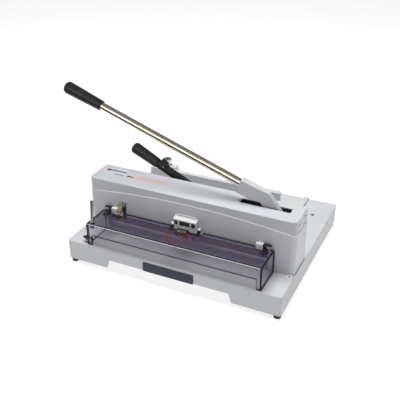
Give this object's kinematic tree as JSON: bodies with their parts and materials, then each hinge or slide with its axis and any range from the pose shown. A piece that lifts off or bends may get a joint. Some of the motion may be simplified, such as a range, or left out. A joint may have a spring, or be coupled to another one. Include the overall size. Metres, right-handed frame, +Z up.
{
  "type": "guillotine paper cutter",
  "caption": "Table-top stack paper cutter with a long cutting lever, a clamp lever behind the housing, a hinged smoked safety cover and a sliding back gauge.",
  "frame": {"origin": "bottom centre of the whole machine's bounding box, at the level its feet stand on", "axes": "+X to the user's right along the blade, +Y away from the user through the machine, +Z up"},
  "size_m": [0.667, 0.496, 0.4514],
  "materials": {
    "table_paint": "satin powder coat",
    "housing_paint": "satin powder coat",
    "top_paint": "satin powder coat",
    "arm_paint": "satin paint",
    "badge_navy": "gloss",
    "foot_rubber": "matte",
    "screw_zinc": "zinc plate",
    "stick_plastic": "satin",
    "lip_red": "satin",
    "frame_steel": "machined steel, oiled",
    "shaft_steel": "ground",
    "blade_steel": "ground",
    "spring_steel": "blued",
    "bronze": "satin",
    "black_steel": "satin black",
    "grip_black": "satin",
    "tube_nickel": "bright plate",
    "rod_steel": "turned",
    "smoke_acrylic": "clear gloss",
    "nylon_white": "satin",
    "bracket_steel": "brushed",
    "latch_brass": "satin",
    "gauge_paint": "satin paint",
    "knob_chrome": "bright"
  },
  "bodies": {
    "base": {"base_casting": "table_paint", "feet": "foot_rubber", "foot_screws": "screw_zinc", "front_plate": "badge_navy", "cutting_stick": "stick_plastic", "table_screws": "screw_zinc", "housing_body": "housing_paint", "top_cover": "top_paint", "rear_cover": "housing_paint", "cover_screws": "screw_zinc", "throat_lip": "lip_red", "left_frame": "frame_steel", "right_frame": "frame_steel", "frame_bolts": "screw_zinc", "front_bridge": "frame_steel", "rear_bridge": "frame_steel", "lever_shaft": "shaft_steel", "lever_shaft_screw": "screw_zinc", "clamp_posts": "shaft_steel", "clamp_springs": "spring_steel", "clamp_bushing": "bronze", "hinge_block_left": "nylon_white", "hinge_block_right": "nylon_white", "hinge_block_screws": "screw_zinc", "centre_bracket": "bracket_steel", "interlock_pin": "screw_zinc", "guide_rail": "table_paint", "scale_strip": "bracket_steel", "side_guide_right": "table_paint"},
    "main_lever": {"lever_arm": "arm_paint", "lever_bushing": "bronze", "crank_pin": "shaft_steel", "lever_tube": "tube_nickel", "lever_grip": "grip_black"},
    "roller": {"crank_roller": "shaft_steel"},
    "cutter": {"blade_carrier": "frame_steel", "blade": "blade_steel", "blade_screws": "screw_zinc", "guide_bolts": "screw_zinc"},
    "clamp": {"clamp_beam": "frame_steel", "clamp_yoke": "frame_steel"},
    "clamp_handle": {"clamp_shaft": "shaft_steel", "clamp_lever": "black_steel", "clamp_grip": "grip_black", "clamp_nut": "black_steel", "trigger_pin": "screw_zinc"},
    "trigger": {"clamp_trigger": "grip_black"},
    "cover": {"safety_cover": "smoke_acrylic", "cover_lift_rod": "rod_steel", "rod_nut": "grip_black", "cover_side_knob": "grip_black", "cover_ear_left": "grip_black", "cover_ear_right": "grip_black", "hinge_pins": "screw_zinc", "centre_bushings": "nylon_white", "latch_plate": "latch_brass"},
    "interlock": {"interlock_lever": "latch_brass"},
    "gauge": {"back_gauge": "gauge_paint", "gauge_slider": "gauge_paint"},
    "lock_knob": {"gauge_lock_knob": "knob_chrome"}
  },
  "joints": [
    {"name": "lever_swing", "type": "hinge", "parent": "base", "child": "main_lever", "pos_m": [0.27853, -0.1, 0.16391], "axis": [0, 1, 0], "range_deg": [-9, 32]},
    {"name": "roller_spin", "type": "hinge", "parent": "main_lever", "child": "roller", "pos_m": [0.23359, -0.141, 0.13416], "axis": [0, 1, 0], "continuous": true},
    {"name": "blade_slide", "type": "slide", "parent": "base", "child": "cutter", "axis": [-0.3746, 0, 0.9272], "range_m": [-0.0083, 0.02947]},
    {"name": "clamp_swing", "type": "hinge", "parent": "base", "child": "clamp_handle", "pos_m": [0.05353, -0.044, 0.16691], "axis": [0, -1, 0], "range_deg": [0, 40]},
    {"name": "clamp_slide", "type": "slide", "parent": "base", "child": "clamp", "axis": [0, 0, -1], "range_m": [0, 0.03401], "deforming": ["clamp_springs"]},
    {"name": "trigger_press", "type": "hinge", "parent": "clamp_handle", "child": "trigger", "pos_m": [-0.07462, -0.044, 0.2372], "axis": [0, -1, 0], "range_deg": [0, 8], "stiffness_Nm_per_rad": 0.6},
    {"name": "cover_open", "type": "hinge", "parent": "base", "child": "cover", "pos_m": [0.04353, -0.158, 0.1392], "axis": [-1, 0, 0], "range_deg": [0, 73]},
    {"name": "interlock_swing", "type": "hinge", "parent": "base", "child": "interlock", "pos_m": [-0.14222, -0.1505, 0.15641], "axis": [-1, 0, 0], "range_deg": [0, 10], "stiffness_Nm_per_rad": 0.3},
    {"name": "gauge_slide", "type": "slide", "parent": "base", "child": "gauge", "axis": [0, 1, 0], "range_m": [-0.17, 0.034]},
    {"name": "lock_turn", "type": "hinge", "parent": "gauge", "child": "lock_knob", "pos_m": [-0.18646, 0.178, 0.1174], "axis": [0, 0, 1], "range_deg": [0, 150]}
  ],
  "couplings": [
    {"joint": "blade_slide", "follows": "lever_swing", "m_per_rad": 0.052752},
    {"joint": "clamp_slide", "follows": "clamp_swing", "m_per_rad": 0.048701}
  ]
}
